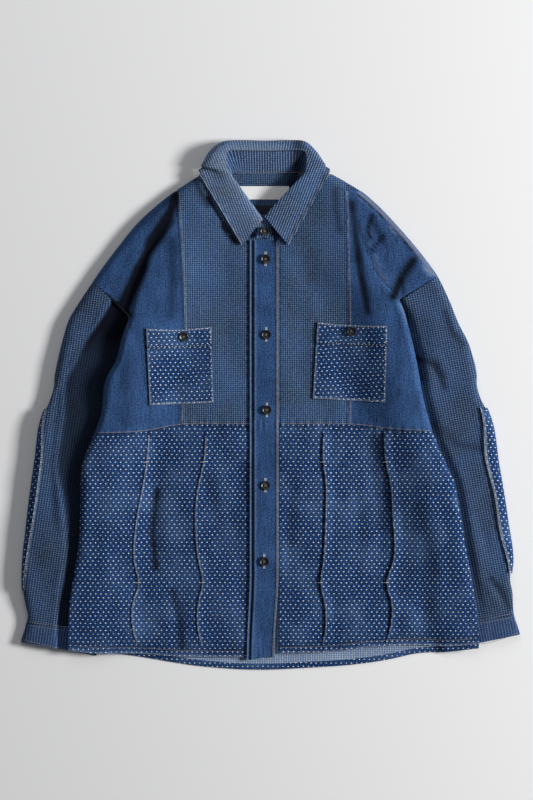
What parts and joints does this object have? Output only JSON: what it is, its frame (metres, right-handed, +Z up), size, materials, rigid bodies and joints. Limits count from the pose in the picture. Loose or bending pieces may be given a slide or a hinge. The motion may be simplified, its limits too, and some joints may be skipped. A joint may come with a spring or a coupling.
{
  "type": "patched boro shirt jacket laid flat",
  "caption": "Patched indigo shirt jacket laid flat on its back: drop-shoulder sleeves, button placket, chest pockets, tucked dotted skirt and elbow patches",
  "frame": {"origin": "middle of the jacket's outline, on the surface that it lies on", "axes": "+Y from hem to collar, +X to the viewer's right as it is seen from above, +Z up out of the front"},
  "size_m": [0.7508, 0.7953, 0.0262],
  "materials": {
    "check_cloth": "indigo cotton with a fine light check",
    "plain_denim": "plain slubbed indigo denim",
    "dotted_cloth": "indigo cotton with rows of raised white stitch dots",
    "horn_button": "dark marbled horn look, half gloss",
    "neck_tape": "bare white woven tape",
    "size_tape": "bare dark woven tape"
  },
  "bodies": {
    "root": {"back_upper": "check_cloth", "front_inner_left": "check_cloth", "front_inner_right": "check_cloth", "sleeve_left": "check_cloth", "sleeve_right": "check_cloth", "cuff_left": "check_cloth", "cuff_right": "check_cloth", "collar_fall": "check_cloth", "collar_stand": "check_cloth", "front_outer_left": "plain_denim", "front_outer_right": "plain_denim", "placket": "plain_denim", "back_skirt": "dotted_cloth", "skirt_left": "dotted_cloth", "skirt_right": "dotted_cloth", "pocket_left": "dotted_cloth", "pocket_right": "dotted_cloth", "elbow_patch_left": "dotted_cloth", "elbow_patch_right": "dotted_cloth", "front_button_1": "horn_button", "front_button_2": "horn_button", "front_button_3": "horn_button", "front_button_4": "horn_button", "front_button_5": "horn_button", "stand_button": "horn_button", "pocket_button_left": "horn_button", "pocket_button_right": "horn_button", "neck_label": "neck_tape", "size_label": "size_tape"}
  },
  "joints": []
}
